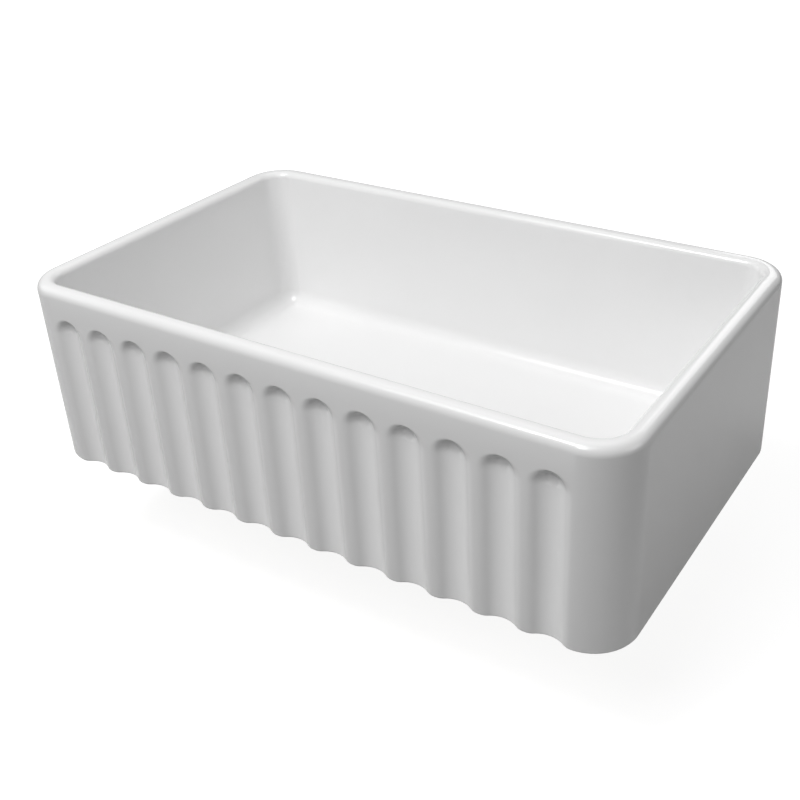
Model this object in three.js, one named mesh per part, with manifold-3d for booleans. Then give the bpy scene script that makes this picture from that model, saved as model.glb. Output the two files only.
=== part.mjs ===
// Farmhouse sink with a fluted apron front, cast in fireclay, and the basket strainer that fits its drain.
// Millimetres, +Z up. The origin is the middle of the underside and the apron faces -Y.
// The casting stands on its underside; the waste hangs below it, through the drain hole.

import * as THREE from 'three';
import { mergeVertices } from 'three/addons/utils/BufferGeometryUtils.js';
import Module from 'manifold-3d';

const manifold = await Module();
manifold.setup();

// ---------------------------------------------------------------- driving dimensions

// Casting
const sinkWidth = 838;
const sinkDepth = 508;
const sinkHeight = 256;
const planCornerRadius = 56;
const outerLipRadius = 12;
const innerLipRadius = 9;
const footRadius = 3;
const rimWall = 24;
const wallDraftDegrees = 1.7;
const bowlCornerRadius = 32;
const floorFilletRadius = 22;
const floorEdgeHeight = 36;
const floorDrainHeight = 28;
const drainHoleRadius = 45;
const flangeSeatRadius = 59.5;
const flangeSeatDepth = 4;
const flangeSeatEdge = 1.5;
const floorDish = 0.75; // how much of its fall is still to come halfway from the edge to the drain
const outletLandMargin = 6;

// Apron flutes
const fluteCount = 13;
const flutePitch = 56.45;
const fluteWidth = 54;
const fluteDepth = 8;
const fluteLipRadius = 18;
const fluteTopHeight = 219;
const archRadius = 24;
const archRun = 11;
const archLipRadius = 2.5;

// Strainer cup and what clamps it
const flangeRadius = 57;
const flangeCrown = 0.6;
const neckClearance = 0.6;
const cupSheet = 1.2;
const ledgeWidth = 1.9;
const ledgeDepth = 5;
const threadSpare = 8;
const flangeGasketThickness = 1.6;
const sinkGasketThickness = 4;
const sinkGasketRadius = 54;
const frictionRingThickness = 1.2;
const locknutHeight = 12;
const locknutRadius = 51;
const locknutLugRadius = 56;
const locknutLugs = 6;
const locknutLugSpread = 16; // degrees
const locknutLugFlank = 3; // degrees

// Outlet: nipple, washer, tailpiece and its nut
const outletRadius = 19;
const nippleWall = 4.9;
const nippleLength = 24;
const nippleFlangeRadius = 28;
const nippleFlangeThickness = 3;
const crossBarWidth = 3.2;
const crossBarDepth = 5;
const crossBossRadius = 6.5;
const washerThickness = 2;
const tailpieceRadius = 19.05;
const tailpieceWall = 1.1;
const tailpieceFlangeThickness = 1.5;
const tailpieceLength = 102;
const couplingAcrossFlats = 57;
const couplingEngagement = 12;
const couplingLip = 3;

// Basket
const basketClearance = 0.5;
const basketFlangeWidth = 3.2;
const basketFlangeThickness = 1.2;
const basketTaper = 8;
const basketSheet = 1;
const basketBottomRadius = 5;
const basketSlots = 24;
const basketSlotWidth = 2.8;
const basketSlotLength = 14;
const basketHoles = 12;
const basketHoleRadius = 1.9;
const basketHoleCircle = 19;

// Guide in the middle of the basket
const guideRadius = 7;
const guideFlangeRadius = 10;
const guideFlangeThickness = 2;
const guideHeight = 12;
const gripRingSection = 1.8;
const gripRingDepth = 3;
const hubWasherThickness = 0.8;
const hubNutThickness = 3;
const hubNutAcrossFlats = 19;

// Stopper and the post that lifts it
const postRadius = 3;
const stopperTravel = 8;
const travelClearance = 0.6;
const sealOverlap = 4.5;
const sealThickness = 4;
const retainerThickness = 1.5;
const retainerDish = 1.5;
const retainerRim = 1.5;
const retainerBoss = 3;
const sealNutThickness = 3.5;
const sealNutAcrossFlats = 12;
const postTip = 3.5;
const knobRadius = 11;
const knobNeckRadius = 6.5;
const knobHeight = 15;
const knobCover = 4;
const knobButtonHeight = 5.5;
const knobCrown = 0.4;

// Fits
const seat = 0.3; // left between two faces that bear on each other
const slip = 0.3; // left round a round piece in its hole
const chamfer = 1; // taken off an edge that a hand or a bore would catch

// ---------------------------------------------------------------- facets

const cornerSteps = 8;
const sideSteps = 4;
const largeRound = 4 * (cornerSteps + sideSteps);
const smallRound = 32;
const tinyRound = 16;

// ---------------------------------------------------------------- levels, from the underside of the casting

const flangeSeatLevel = floorDrainHeight - flangeSeatDepth;
const flangeUnderside = flangeSeatLevel + seat + flangeGasketThickness + seat;
const flangeTop = flangeUnderside + cupSheet;
const ledgeLevel = flangeTop - ledgeDepth;

const sinkGasketTop = -seat;
const frictionRingTop = sinkGasketTop - sinkGasketThickness - seat;
const locknutTop = frictionRingTop - frictionRingThickness - seat;
const locknutBottom = locknutTop - locknutHeight;
const cupFloor = locknutBottom - threadSpare;
const cupUnderside = cupFloor - cupSheet;

const sealBottom = cupFloor + seat;
const sealTop = sealBottom + sealThickness;
const retainerBottom = sealTop + seat;
const retainerTop = retainerBottom + retainerThickness + retainerDish;
const sealNutTop = sealBottom - seat;
const sealNutBottom = sealNutTop - sealNutThickness;

const hubNutBottom = retainerTop + stopperTravel + travelClearance;
const hubNutTop = hubNutBottom + hubNutThickness;
const hubWasherBottom = hubNutTop + seat;
const basketUnderside = hubWasherBottom + hubWasherThickness + seat;
const basketFloor = basketUnderside + basketSheet;
const guideFlangeBottom = basketFloor + seat;
const guideTop = guideFlangeBottom + guideHeight;
const knobBottom = guideTop + seat;
const knobTop = knobBottom + knobHeight;

const crossBarTop = sealNutBottom - travelClearance;
const crossBarBottom = crossBarTop - crossBarDepth;
const nippleTop = cupUnderside - seat;
const nippleBottom = nippleTop - nippleLength;
const washerTop = nippleBottom - seat;
const tailpieceTop = washerTop - washerThickness - seat;
const tailpieceBottom = tailpieceTop - tailpieceLength;
const couplingTop = nippleBottom + couplingEngagement;
const couplingLipTop = tailpieceTop - tailpieceFlangeThickness - seat;
const couplingBottom = couplingLipTop - couplingLip;

// ---------------------------------------------------------------- radii that follow from their neighbours

const outletLandRadius = Math.max(sinkGasketRadius, locknutLugRadius) + outletLandMargin;
const neckRadius = drainHoleRadius - neckClearance;
const neckBore = neckRadius - cupSheet;
const threadRadius = neckRadius - ledgeWidth;
const cupBore = threadRadius - cupSheet;
const clampBore = threadRadius + slip;
const nippleRadius = outletRadius + nippleWall;
const sealRadius = outletRadius + sealOverlap;
const postBore = postRadius + slip;
const basketFlangeRadius = neckBore - basketClearance;
const basketRadius = Math.min(basketFlangeRadius - basketFlangeWidth, cupBore - basketClearance);

// ---------------------------------------------------------------- helpers

/** Merges shared corners, drops triangles that have collapsed and points every face outwards. */
function weld(geometry) {
  const bare = geometry.clone();
  bare.deleteAttribute('normal');
  bare.deleteAttribute('uv');
  const merged = mergeVertices(bare, 1e-4);
  const corners = merged.index.array;
  const place = merged.attributes.position;
  const kept = [];
  let volume = 0;
  for (let i = 0; i < corners.length; i += 3) {
    const [a, b, c] = [corners[i], corners[i + 1], corners[i + 2]];
    if (a === b || b === c || c === a) continue;
    kept.push(a, b, c);
    const [pa, pb, pc] = [a, b, c].map((k) => new THREE.Vector3().fromBufferAttribute(place, k));
    volume += pa.dot(pb.cross(pc));
  }
  if (volume < 0) kept.reverse();
  merged.setIndex(kept);
  return merged;
}

/** The geometry as a solid that can be cut and joined. */
function solid(geometry) {
  const closed = weld(geometry);
  return new manifold.Manifold(new manifold.Mesh({
    numProp: 3,
    vertProperties: new Float32Array(closed.attributes.position.array),
    triVerts: new Uint32Array(closed.index.array),
  }));
}

/** A cut or joined solid as a geometry again. */
function surface(body) {
  const mesh = body.getMesh();
  const geometry = new THREE.BufferGeometry();
  geometry.setAttribute('position', new THREE.BufferAttribute(new Float32Array(mesh.vertProperties), 3));
  geometry.setIndex(Array.from(mesh.triVerts));
  return geometry;
}

/** Takes each cutter away from the body. */
function cut(body, cutters) {
  return cutters.reduce((rest, cutter) => rest.subtract(cutter), body);
}

/** A geometry from its corners and its faces, each face three or four corner numbers. */
function fromFaces(points, faces) {
  const index = [];
  for (const [a, b, c, d] of faces) {
    index.push(a, b, c);
    if (d !== undefined) index.push(a, c, d);
  }
  const geometry = new THREE.BufferGeometry();
  const flat = points.flatMap((p) => [p.x, p.y, p.z]);
  geometry.setAttribute('position', new THREE.BufferAttribute(new Float32Array(flat), 3));
  geometry.setIndex(index);
  return geometry;
}

/** Turns a profile of [radius, height] pairs about the vertical axis. */
function revolve(profile, segments) {
  const points = profile.map(([radius, height]) => new THREE.Vector2(radius, height));
  return new THREE.LatheGeometry(points, segments).rotateX(Math.PI / 2);
}

/** Turns a closed section, so that it makes a ring. */
function ring(section, segments) {
  return revolve([...section, section[0]], segments);
}

/** A plain ring with square corners. */
function flatRing(innerRadius, outerRadius, bottom, top, segments) {
  const section = [[innerRadius, bottom], [outerRadius, bottom], [outerRadius, top], [innerRadius, top]];
  return ring(section, segments);
}

/** A plain rod about the vertical axis. */
function rod(radius, bottom, top, segments) {
  return revolve([[0, bottom], [radius, bottom], [radius, top], [0, top]], segments);
}

/** Points on an arc, as [across, up] pairs, from one angle to another in degrees. */
function arc(across, up, radius, fromDegrees, toDegrees, steps) {
  return Array.from({ length: steps + 1 }, (_, i) => {
    const angle = THREE.MathUtils.degToRad(THREE.MathUtils.lerp(fromDegrees, toDegrees, i / steps));
    return [across + radius * Math.cos(angle), up + radius * Math.sin(angle)];
  });
}

/** A prism with six flats about the vertical axis. */
function hexagon(acrossFlats, bottom, top) {
  const prism = new THREE.CylinderGeometry(1, 1, top - bottom, 6).rotateX(Math.PI / 2);
  const cornerRadius = acrossFlats / Math.sqrt(3);
  return prism.scale(cornerRadius, cornerRadius, 1).translate(0, 0, (top + bottom) / 2);
}

// ---------------------------------------------------------------- the casting

/** One loop round the casting: a rectangle with round corners, at one level. */
function rectangleLoop(halfWidth, halfDepth, radius, level) {
  const corners = [[1, 1], [-1, 1], [-1, -1], [1, -1]];
  const loop = corners.flatMap(([right, back], quarter) => {
    const centre = [right * (halfWidth - radius), back * (halfDepth - radius)];
    return arc(...centre, radius, 90 * quarter, 90 * quarter + 90, cornerSteps);
  });
  const points = [];
  loop.forEach(([x, y], i) => {
    points.push(new THREE.Vector3(x, y, level));
    if ((i + 1) % (cornerSteps + 1)) return;
    const [nextX, nextY] = loop[(i + 1) % loop.length];
    for (let step = 1; step < sideSteps; step += 1) {
      const share = step / sideSteps;
      points.push(new THREE.Vector3(x + (nextX - x) * share, y + (nextY - y) * share, level));
    }
  });
  return points;
}

/** A round loop with as many points, which start at the same bearing as those of a rectangle. */
function roundLoop(radius, level) {
  const turn = 360 / largeRound;
  const first = 45 - (cornerSteps / 2) * turn;
  return arc(0, 0, radius, first, first + 360 - turn, largeRound - 1)
    .map(([x, y]) => new THREE.Vector3(x, y, level));
}

/** The casting's wall as seen in a cut: [inset from the outside, level], underside to bowl floor. */
function wallSection() {
  const draft = THREE.MathUtils.degToRad(wallDraftDegrees);
  const foot = arc(footRadius, footRadius, footRadius, 270, 180, 2);
  const outerLip = arc(outerLipRadius, sinkHeight - outerLipRadius, outerLipRadius, 180, 90, 5);
  const lipCentre = [rimWall - innerLipRadius, sinkHeight - innerLipRadius];
  const innerLip = arc(...lipCentre, innerLipRadius, 90, wallDraftDegrees, 4);
  const [lipEndInset, lipEndLevel] = innerLip.at(-1);
  const filletLevel = floorEdgeHeight + floorFilletRadius;
  const drop = (lipEndLevel + floorFilletRadius * Math.sin(draft) - filletLevel) / Math.cos(draft);
  const filletInset = lipEndInset + drop * Math.sin(draft) + floorFilletRadius * Math.cos(draft);
  const floorFillet = arc(filletInset, filletLevel, floorFilletRadius, 180 + wallDraftDegrees, 270, 5);
  return { outside: [...foot, ...outerLip], inside: [...innerLip, ...floorFillet] };
}

/**
 * The plain casting: loops over the rim, down into the bowl, across the dished floor, through the drain
 * and out over the flat land that the gasket bears on.
 */
function plainCasting() {
  const { outside, inside } = wallSection();
  const halfWidth = sinkWidth / 2;
  const halfDepth = sinkDepth / 2;
  const outerLoop = ([inset, level]) => {
    return rectangleLoop(halfWidth - inset, halfDepth - inset, planCornerRadius - inset, level);
  };
  const bowlLoop = ([inset, level]) => {
    const radius = Math.max(bowlCornerRadius + rimWall - inset, 2);
    return rectangleLoop(halfWidth - inset, halfDepth - inset, radius, level);
  };
  const bowl = inside.map(bowlLoop);
  const drainLip = roundLoop(flangeSeatRadius + flangeSeatEdge, floorDrainHeight);
  const dish = bowl.at(-1).map((edge, k) => {
    const halfway = edge.clone().lerp(drainLip[k], 0.5);
    return halfway.setZ(THREE.MathUtils.lerp(floorDrainHeight, floorEdgeHeight, floorDish));
  });
  const loops = [
    ...outside.map(outerLoop),
    ...bowl,
    dish,
    drainLip,
    roundLoop(flangeSeatRadius, floorDrainHeight - flangeSeatEdge),
    roundLoop(flangeSeatRadius, flangeSeatLevel),
    roundLoop(drainHoleRadius, flangeSeatLevel),
    roundLoop(drainHoleRadius, 0),
    roundLoop(outletLandRadius, 0),
  ];
  const faces = [];
  loops.forEach((_, i) => {
    const [here, next] = [i * largeRound, ((i + 1) % loops.length) * largeRound];
    for (let k = 0; k < largeRound; k += 1) {
      const after = (k + 1) % largeRound;
      faces.push([here + k, here + after, next + after, next + k]);
    }
  });
  return fromFaces(loops.flat(), faces);
}

/** Half of a flute's hollow, [out from its middle, depth]: a round trough that runs over a rounded lip. */
function scoop(run, depth, lipRadius, troughSteps, lipSteps) {
  const reach = (run * run + depth * depth) / (2 * depth);
  const slope = THREE.MathUtils.radToDeg(Math.asin(run / reach));
  const troughRadius = reach - lipRadius;
  const trough = arc(0, depth - troughRadius, troughRadius, 90, 90 - slope, troughSteps);
  const lip = arc(run, lipRadius, lipRadius, 270 - slope, 270, lipSteps);
  return [...trough, ...lip.slice(1)];
}

/**
 * What is scooped out of the apron for one flute. It is open at the foot of the apron, and its sides are
 * soft all the way up. Round the arch at the top the soft side turns into a short, steep end wall.
 */
function fluteCutter(centreX) {
  const side = scoop(fluteWidth / 2, fluteDepth, fluteLipRadius, 4, 3);
  const end = scoop(archRun, fluteDepth, archLipRadius, 3, 3)
    .map(([out, depth]) => [out + archRadius - archRun, depth]);
  end.unshift([0, fluteDepth]);
  const springing = fluteTopHeight - archRadius;
  const proud = 1;

  const row = (angle, level) => {
    const share = Math.sin(angle) ** 2;
    const profile = side.map(([out, depth], i) => {
      return [THREE.MathUtils.lerp(out, end[i][0], share), THREE.MathUtils.lerp(depth, end[i][1], share)];
    });
    const [[innerOut, innerDepth], [outerOut, outerDepth]] = profile.slice(-2);
    const perDepth = (outerOut - innerOut) / (innerDepth - outerDepth);
    profile.push([outerOut + (proud + outerDepth) * perDepth, -proud]);
    return profile.map(([out, depth]) => new THREE.Vector3(
      centreX + out * Math.cos(angle),
      depth - sinkDepth / 2,
      level + out * Math.sin(angle),
    ));
  };

  const archSteps = 10;
  const rows = [row(Math.PI, -proud)];
  for (let step = 0; step <= archSteps; step += 1) {
    rows.push(row(Math.PI * (1 - step / archSteps), springing));
  }
  rows.push(row(0, -proud));

  const columns = side.length + 1;
  const last = rows.length - 1;
  const at = (i, j) => i * columns + j;
  const faces = [];
  for (let i = 0; i < last; i += 1) {
    for (let j = 0; j < columns - 1; j += 1) {
      faces.push([at(i, j), at(i, j + 1), at(i + 1, j + 1), at(i + 1, j)]);
    }
  }
  const rim = columns - 1;
  for (let i = 0; i < last / 2; i += 1) {
    faces.push([at(i, rim), at(last - i, rim), at(last - i - 1, rim), at(i + 1, rim)]);
  }
  for (let j = 0; j < rim; j += 1) {
    faces.push([at(0, j), at(last, j), at(last, j + 1), at(0, j + 1)]);
  }
  return fromFaces(rows.flat(), faces);
}

function sinkBody() {
  const flutes = Array.from({ length: fluteCount }, (_, i) => {
    return solid(fluteCutter((i - (fluteCount - 1) / 2) * flutePitch));
  });
  return surface(cut(solid(plainCasting()), flutes));
}

// ---------------------------------------------------------------- strainer cup and its clamp

function strainerCup() {
  const crown = flangeTop + flangeCrown;
  const neckUnderside = ledgeLevel - cupSheet;
  return ring([
    [flangeRadius, flangeUnderside],
    [flangeRadius, flangeUnderside + cupSheet / 2],
    [flangeRadius - cupSheet, flangeTop],
    [(flangeRadius + neckRadius) / 2, crown],
    [neckRadius + cupSheet, flangeTop],
    [neckBore, flangeUnderside],
    [neckBore, ledgeLevel],
    [cupBore, ledgeLevel],
    [cupBore, cupFloor + cupSheet],
    [cupBore - cupSheet, cupFloor],
    [outletRadius, cupFloor],
    [outletRadius, cupUnderside],
    [threadRadius - cupSheet, cupUnderside],
    [threadRadius, cupFloor],
    [threadRadius, neckUnderside],
    [neckRadius, neckUnderside],
    [neckRadius, flangeUnderside],
  ], largeRound);
}

function flangeGasket() {
  const bottom = flangeSeatLevel + seat;
  return flatRing(neckRadius + slip, flangeRadius - seat, bottom, flangeUnderside - seat, largeRound);
}

function sinkGasket() {
  const bottom = sinkGasketTop - sinkGasketThickness;
  return flatRing(clampBore, sinkGasketRadius, bottom, sinkGasketTop, largeRound);
}

function frictionRing() {
  const bottom = frictionRingTop - frictionRingThickness;
  return flatRing(clampBore, sinkGasketRadius, bottom, frictionRingTop, largeRound);
}

/** The big nut, with lugs for a spanner or a mallet round its edge. */
function locknut() {
  const lugTurn = 360 / locknutLugs;
  const half = locknutLugSpread / 2;
  const root = half + locknutLugFlank;
  const outline = Array.from({ length: locknutLugs }, (_, i) => [
    ...arc(0, 0, locknutLugRadius, i * lugTurn - half, i * lugTurn + half, 2),
    ...arc(0, 0, locknutRadius, i * lugTurn + root, (i + 1) * lugTurn - root, 5),
  ]).flat();
  const shape = new THREE.Shape(outline.map(([x, y]) => new THREE.Vector2(x, y)));
  const hole = arc(0, 0, clampBore, 0, 360 - 360 / largeRound, largeRound - 1);
  shape.holes.push(new THREE.Path(hole.map(([x, y]) => new THREE.Vector2(x, y))));
  const nut = new THREE.ExtrudeGeometry(shape, { depth: locknutHeight, bevelEnabled: false });
  return nut.translate(0, 0, locknutBottom);
}

// ---------------------------------------------------------------- outlet

/** The threaded outlet, with a cross in its bore that steadies the tip of the post. */
function outletNipple() {
  const barrel = solid(ring([
    [outletRadius, nippleBottom],
    [nippleRadius, nippleBottom],
    [nippleRadius, nippleTop - nippleFlangeThickness],
    [nippleFlangeRadius, nippleTop - nippleFlangeThickness],
    [nippleFlangeRadius, nippleTop],
    [outletRadius, nippleTop],
  ], smallRound));
  const middle = (crossBarTop + crossBarBottom) / 2;
  const span = 2 * outletRadius + nippleWall;
  const barAlongX = new THREE.BoxGeometry(span, crossBarWidth, crossBarDepth).translate(0, 0, middle);
  const barAlongY = new THREE.BoxGeometry(crossBarWidth, span, crossBarDepth).translate(0, 0, middle);
  const boss = solid(rod(crossBossRadius, crossBarBottom, crossBarTop, tinyRound));
  const socket = solid(rod(postBore, crossBarBottom - 1, crossBarTop + 1, tinyRound));
  return surface(barrel.add(solid(barAlongX)).add(solid(barAlongY)).add(boss).subtract(socket));
}

function tailpieceWasher() {
  return flatRing(outletRadius, nippleRadius - slip, washerTop - washerThickness, washerTop, smallRound);
}

function tailpiece() {
  const bore = tailpieceRadius - tailpieceWall;
  const flangeUndersideLevel = tailpieceTop - tailpieceFlangeThickness;
  return ring([
    [bore, tailpieceBottom],
    [tailpieceRadius, tailpieceBottom],
    [tailpieceRadius, flangeUndersideLevel],
    [nippleRadius - slip, flangeUndersideLevel],
    [nippleRadius - slip, tailpieceTop],
    [bore, tailpieceTop],
  ], smallRound);
}

/** The nut that pulls the tailpiece's flange up against the washer. */
function couplingNut() {
  const blank = solid(hexagon(couplingAcrossFlats, couplingBottom, couplingTop));
  const threadBore = solid(rod(nippleRadius + slip, couplingLipTop, couplingTop + 1, smallRound));
  const lipBore = solid(rod(tailpieceRadius + slip, couplingBottom - 1, couplingTop, smallRound));
  return surface(cut(blank, [threadBore, lipBore]));
}

// ---------------------------------------------------------------- basket

/** The pressed basket before it is pierced. */
function plainBasket() {
  const flangeBottom = ledgeLevel + seat;
  const flangeTopLevel = flangeBottom + basketFlangeThickness;
  const bendCentre = [basketRadius - basketTaper - basketBottomRadius, basketUnderside + basketBottomRadius];
  const bend = arc(...bendCentre, basketBottomRadius, 270, 360, 3);
  const innerBend = arc(...bendCentre, basketBottomRadius - basketSheet, 360, 270, 3);
  const hole = guideRadius + slip;
  return ring([
    [hole, basketUnderside],
    ...bend,
    [basketRadius, flangeBottom],
    [basketFlangeRadius, flangeBottom],
    [basketFlangeRadius, flangeTopLevel],
    [basketRadius - basketSheet, flangeTopLevel],
    ...innerBend,
    [hole, basketFloor],
  ], largeRound);
}

/** An upright slot with round ends that points out along +X, at the given bearing in degrees. */
function slotCutter(bearing, level) {
  const straight = (basketSlotLength - basketSlotWidth) / 2;
  const half = basketSlotWidth / 2;
  const outline = [...arc(0, straight, half, 0, 180, 2), ...arc(0, -straight, half, 180, 360, 2)];
  const shape = new THREE.Shape(outline.map(([x, y]) => new THREE.Vector2(x, y)));
  const slot = new THREE.ExtrudeGeometry(shape, { depth: basketRadius, bevelEnabled: false });
  slot.rotateX(Math.PI / 2).rotateZ(Math.PI / 2).translate(basketTaper, 0, level);
  return slot.rotateZ(THREE.MathUtils.degToRad(bearing));
}

function basketCup() {
  const cutters = [];
  const slotLevel = (basketFloor + ledgeLevel) / 2;
  for (let i = 0; i < basketSlots; i += 1) {
    cutters.push(solid(slotCutter(360 * (i / basketSlots) + 180 / largeRound, slotLevel)));
  }
  for (let i = 0; i < basketHoles; i += 1) {
    const hole = rod(basketHoleRadius, basketUnderside - 1, basketFloor + 1, 6);
    const bearing = 2 * Math.PI * (i / basketHoles);
    const [x, y] = [basketHoleCircle * Math.cos(bearing), basketHoleCircle * Math.sin(bearing)];
    cutters.push(solid(hole.translate(x, y, 0)));
  }
  return surface(cut(solid(plainBasket()), cutters));
}

/** The flanged guide that the post slides in, with a groove inside for the grip ring. */
function hubSleeve() {
  const grooveTop = guideTop - gripRingDepth;
  const grooveBottom = grooveTop - gripRingSection - 2 * seat;
  const grooveRadius = postBore + gripRingSection + slip;
  return ring([
    [postBore, hubNutBottom],
    [guideRadius, hubNutBottom],
    [guideRadius, guideFlangeBottom],
    [guideFlangeRadius, guideFlangeBottom],
    [guideFlangeRadius, guideFlangeBottom + guideFlangeThickness],
    [guideRadius, guideFlangeBottom + guideFlangeThickness],
    [guideRadius, guideTop],
    [postBore, guideTop],
    [postBore, grooveTop],
    [grooveRadius, grooveTop],
    [grooveRadius, grooveBottom],
    [postBore, grooveBottom],
  ], tinyRound);
}

/** The ring of rubber that holds the post where it is put. */
function gripRing() {
  const half = gripRingSection / 2;
  const level = guideTop - gripRingDepth - seat - half;
  return ring(arc(postBore + half, level, half, 0, 300, 5), tinyRound);
}

function hubWasher() {
  const top = hubWasherBottom + hubWasherThickness;
  return flatRing(guideRadius + slip, guideFlangeRadius, hubWasherBottom, top, tinyRound);
}

function hubNut() {
  const blank = solid(hexagon(hubNutAcrossFlats, hubNutBottom, hubNutTop));
  return surface(blank.subtract(solid(rod(guideRadius + slip, hubNutBottom - 1, hubNutTop + 1, tinyRound))));
}

// ---------------------------------------------------------------- stopper

function stopperPost() {
  const tipLevel = crossBarTop - postTip;
  const topLevel = knobTop - knobCover - seat;
  return revolve([
    [0, tipLevel],
    [postRadius - chamfer, tipLevel],
    [postRadius, tipLevel + chamfer],
    [postRadius, topLevel],
    [0, topLevel],
  ], tinyRound);
}

/** The knob: a narrow neck that opens into a round button, bored from below for the post. */
function liftKnob() {
  const boreTop = knobTop - knobCover;
  const buttonBottom = knobTop - knobButtonHeight;
  return revolve([
    [0, boreTop],
    [postBore, boreTop],
    [postBore, knobBottom],
    [knobNeckRadius + chamfer, knobBottom],
    [knobNeckRadius, knobBottom + 2 * chamfer],
    [knobNeckRadius, buttonBottom - 2 * chamfer],
    [knobRadius - chamfer, buttonBottom],
    [knobRadius, buttonBottom + chamfer],
    [knobRadius, knobTop - knobCrown - 2 * chamfer],
    [knobRadius - 2 * chamfer, knobTop - knobCrown],
    [0, knobTop],
  ], tinyRound);
}

/** The dished plate that backs the rubber seal. */
function stopperRetainer() {
  const rim = sealRadius - retainerRim;
  return ring([
    [postBore, retainerBottom],
    [rim, retainerBottom],
    [rim, retainerBottom + retainerThickness / 2],
    [rim - retainerThickness / 2, retainerBottom + retainerThickness],
    [rim / 2, retainerBottom + retainerThickness],
    [postRadius + retainerBoss, retainerTop],
    [postBore, retainerTop],
  ], smallRound);
}

function stopperSeal() {
  const edge = sealThickness / 2;
  return ring([
    [postBore, sealBottom],
    [sealRadius - chamfer, sealBottom],
    [sealRadius, sealBottom + edge],
    [sealRadius - chamfer, sealTop],
    [postBore, sealTop],
  ], smallRound);
}

function sealNut() {
  const blank = solid(hexagon(sealNutAcrossFlats, sealNutBottom, sealNutTop));
  return surface(blank.subtract(solid(rod(postBore, sealNutBottom - 1, sealNutTop + 1, tinyRound))));
}

// ---------------------------------------------------------------- materials

const glaze = { color: 0xeeeeec, roughness: 0.16, metalness: 0 };
const stainless = { color: 0xc4c6c8, roughness: 0.3, metalness: 1 };
const platedBrass = { color: 0xcfd1d3, roughness: 0.14, metalness: 1 };
const castZinc = { color: 0xa9abad, roughness: 0.45, metalness: 1 };
const blackRubber = { color: 0x1d1d1e, roughness: 0.85, metalness: 0 };
const whiteFoam = { color: 0xd9d8d2, roughness: 0.9, metalness: 0 };
const fibre = { color: 0x8a5a3c, roughness: 0.95, metalness: 0 };
const whiteNylon = { color: 0xe2e1dc, roughness: 0.5, metalness: 0 };

// ---------------------------------------------------------------- assembly

function piece(name, geometry, finish) {
  const mesh = new THREE.Mesh(weld(geometry), new THREE.MeshStandardMaterial(finish));
  mesh.name = name;
  mesh.geometry.computeVertexNormals();
  return mesh;
}

const fixedWaste = new THREE.Group().add(
  piece('flange_gasket', flangeGasket(), whiteFoam),
  piece('strainer_cup', strainerCup(), stainless),
  piece('sink_gasket', sinkGasket(), blackRubber),
  piece('friction_ring', frictionRing(), fibre),
  piece('locknut', locknut(), castZinc),
  piece('outlet_nipple', outletNipple(), platedBrass),
  piece('tailpiece_washer', tailpieceWasher(), whiteNylon),
  piece('tailpiece', tailpiece(), platedBrass),
  piece('coupling_nut', couplingNut(), platedBrass),
);

const basket = new THREE.Group().add(
  piece('basket_cup', basketCup(), stainless),
  piece('hub_sleeve', hubSleeve(), platedBrass),
  piece('hub_washer', hubWasher(), whiteNylon),
  piece('hub_nut', hubNut(), platedBrass),
  piece('grip_ring', gripRing(), blackRubber),
);

const stopper = new THREE.Group().add(
  piece('stopper_post', stopperPost(), stainless),
  piece('lift_knob', liftKnob(), platedBrass),
  piece('stopper_retainer', stopperRetainer(), stainless),
  piece('stopper_seal', stopperSeal(), blackRubber),
  piece('seal_nut', sealNut(), platedBrass),
);

const sink = new THREE.Group().add(piece('sink_body', sinkBody(), glaze), fixedWaste, basket, stopper);

export default sink;
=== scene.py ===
import math

import bmesh
import bpy
from mathutils import Matrix, Vector


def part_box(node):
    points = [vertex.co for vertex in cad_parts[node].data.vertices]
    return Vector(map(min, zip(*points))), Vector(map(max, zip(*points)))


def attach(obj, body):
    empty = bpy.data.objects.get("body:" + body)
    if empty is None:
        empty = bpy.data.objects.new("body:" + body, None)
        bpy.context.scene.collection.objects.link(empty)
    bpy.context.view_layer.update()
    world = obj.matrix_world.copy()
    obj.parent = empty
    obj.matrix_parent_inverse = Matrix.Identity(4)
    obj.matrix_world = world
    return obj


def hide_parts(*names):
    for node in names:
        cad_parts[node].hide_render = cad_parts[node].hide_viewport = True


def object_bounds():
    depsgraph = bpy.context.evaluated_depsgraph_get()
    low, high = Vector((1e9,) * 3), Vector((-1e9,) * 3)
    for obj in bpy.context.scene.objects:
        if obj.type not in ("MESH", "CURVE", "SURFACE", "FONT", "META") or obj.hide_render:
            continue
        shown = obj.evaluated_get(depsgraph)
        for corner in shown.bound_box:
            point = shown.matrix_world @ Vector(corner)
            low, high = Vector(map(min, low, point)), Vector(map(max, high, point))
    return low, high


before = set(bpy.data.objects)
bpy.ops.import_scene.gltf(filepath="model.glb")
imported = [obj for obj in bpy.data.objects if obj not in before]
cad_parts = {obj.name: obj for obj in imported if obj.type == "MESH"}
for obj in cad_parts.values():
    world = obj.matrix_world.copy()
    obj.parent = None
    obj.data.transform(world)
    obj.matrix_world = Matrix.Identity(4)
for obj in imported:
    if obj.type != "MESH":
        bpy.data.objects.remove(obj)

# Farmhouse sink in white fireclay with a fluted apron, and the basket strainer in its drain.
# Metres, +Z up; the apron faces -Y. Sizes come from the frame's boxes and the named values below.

MM = 0.001
CAD_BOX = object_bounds()

# ------------------------------------------------------------------ sizes of the casting, in metres

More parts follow.
